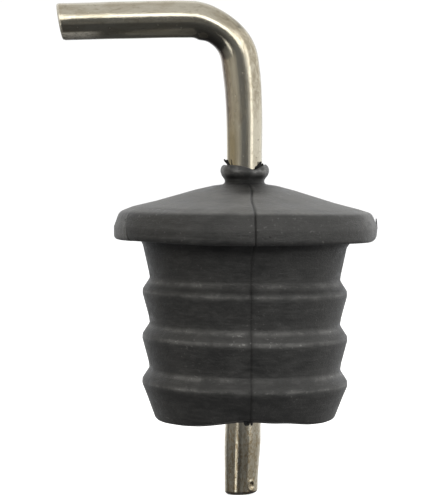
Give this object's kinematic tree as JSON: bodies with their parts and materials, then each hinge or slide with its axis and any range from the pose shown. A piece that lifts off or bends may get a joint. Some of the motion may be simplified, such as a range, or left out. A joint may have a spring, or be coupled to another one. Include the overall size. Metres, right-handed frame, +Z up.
{
  "type": "liquor pour spout",
  "caption": "Pour spout for a spirits bottle: a bent steel tube turns in a ribbed rubber stopper that has a cone top, a lip flange and a thin breather tube.",
  "frame": {"origin": "on the stopper's axis, in the plane of the flange's underside, which rests on the bottle's lip", "axes": "+Z up out of the bottle along the stopper's axis; at rest the outlet arm points along -X and the breather tube is at +Y"},
  "size_m": [0.0356, 0.0292, 0.0549],
  "materials": {
    "spout_steel": "worn, slightly stained satin",
    "stopper_rubber": "matte, scuffed",
    "breather_steel": "satin"
  },
  "bodies": {
    "stopper": {"rubber_stopper": "stopper_rubber", "breather_tube": "breather_steel"},
    "spout": {"spout_tube": "spout_steel"}
  },
  "joints": [
    {"name": "spout_swivel", "type": "hinge", "parent": "stopper", "child": "spout", "pos_m": [0, 0, 0], "axis": [0, 0, 1], "continuous": true}
  ]
}
